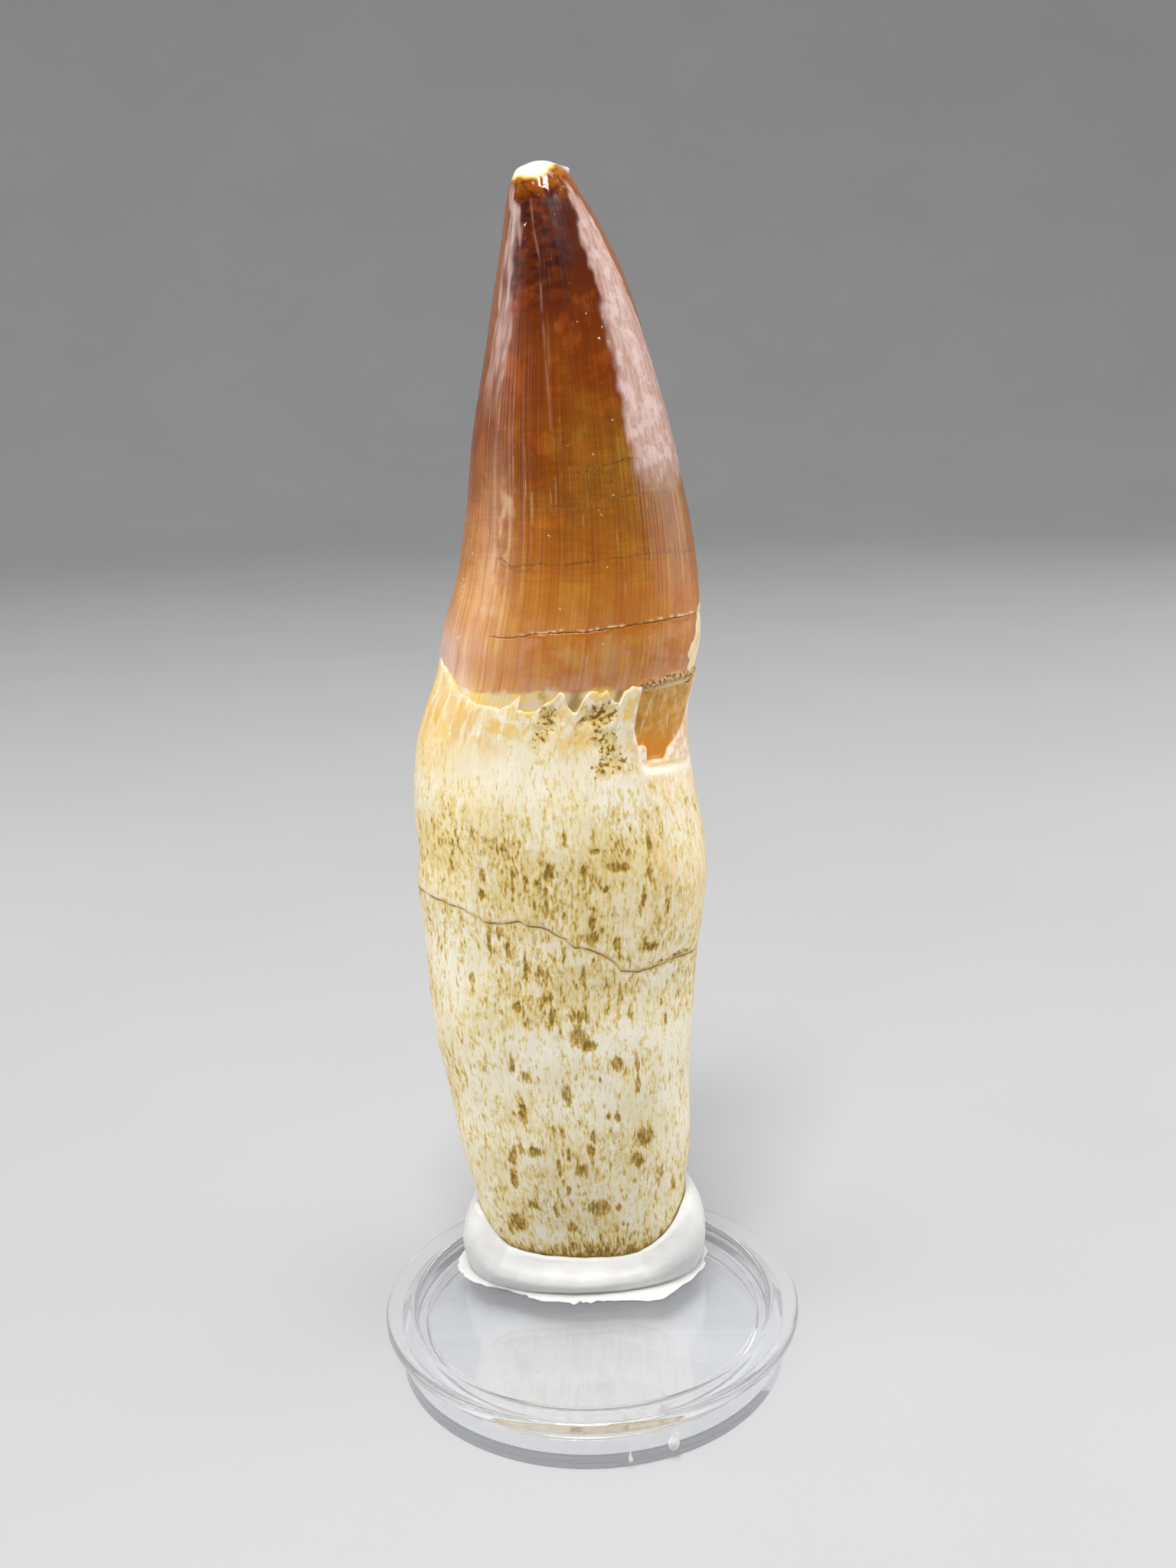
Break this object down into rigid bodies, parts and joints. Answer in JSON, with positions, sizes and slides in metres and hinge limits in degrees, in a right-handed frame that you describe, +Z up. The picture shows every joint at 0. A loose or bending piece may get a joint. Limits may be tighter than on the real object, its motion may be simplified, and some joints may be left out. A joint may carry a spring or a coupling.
{
  "type": "fossil marine reptile tooth on a display stand",
  "caption": "Large conical fossil tooth with its root, set upright in white putty on a clear round capsule used as a stand.",
  "frame": {"origin": "centre of the clear capsule's underside, on the surface it stands on", "axes": "+Z up along the tooth, +X to the right and +Y to the back as seen from the front"},
  "size_m": [0.042, 0.042, 0.1158],
  "materials": {
    "fossil": "glossy brown enamel on the crown, dry porous cream bone on the root",
    "putty": "smooth matt white putty",
    "clear_plastic": "clear polished moulded plastic"
  },
  "bodies": {
    "root": {"tooth": "fossil", "putty": "putty", "clear_cap": "clear_plastic", "clear_foot": "clear_plastic"}
  },
  "joints": []
}
